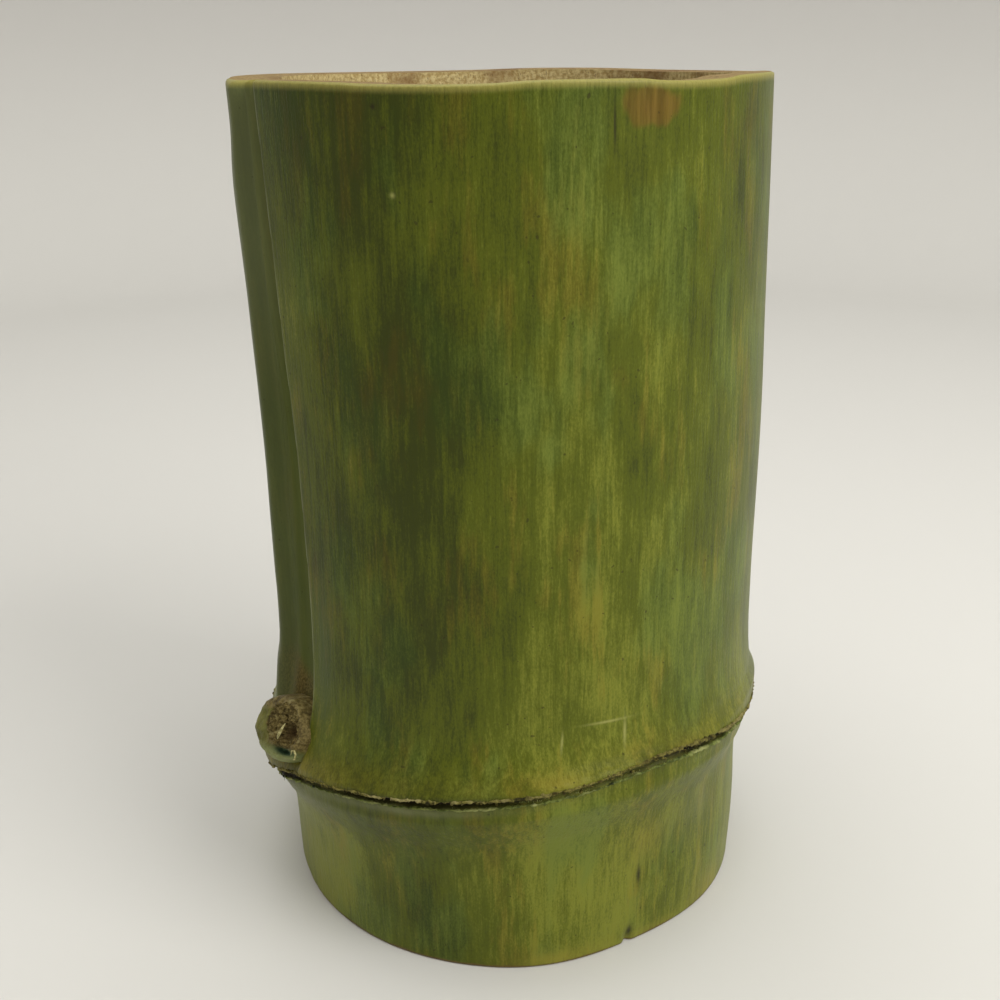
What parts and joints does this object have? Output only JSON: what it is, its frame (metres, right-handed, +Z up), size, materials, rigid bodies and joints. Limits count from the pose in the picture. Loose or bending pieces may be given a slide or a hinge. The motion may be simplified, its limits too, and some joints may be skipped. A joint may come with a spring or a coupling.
{
  "type": "bamboo vase",
  "caption": "Upright cylindrical vase sawn from a giant bamboo culm, with a node ring, sheath scar, grooved side and branch stub, open at the top, holding a lift-out glass liner for water.",
  "frame": {"origin": "middle of the whole object's box on the surface that the foot stands on", "axes": "+Z up the culm to the rim, -Y the front of the picture, -X the side with the branch stub"},
  "size_m": [0.1591, 0.159, 0.24],
  "materials": {
    "stained_culm": "green and ochre stain rubbed into the culm's skin, satin",
    "raw_bamboo": "bare, dry and fibrous",
    "corky_scar": "rough, corky and matt",
    "stained_branch": "stained and smooth, satin",
    "torn_branch": "torn fibres, matt",
    "liner_glass": "clear and polished"
  },
  "bodies": {
    "vase": {"foot_wall": "stained_culm", "node_ring": "stained_culm", "culm_wall": "stained_culm", "node_septum": "raw_bamboo", "scar_upper_lip": "corky_scar", "scar_lower_lip": "corky_scar", "branch_collar": "stained_branch", "branch_stub": "torn_branch"},
    "liner": {"water_liner": "liner_glass"}
  },
  "joints": [
    {"name": "liner_lift", "type": "slide", "parent": "vase", "child": "liner", "axis": [0, 0, 1], "range_m": [0, 0.19]}
  ]
}
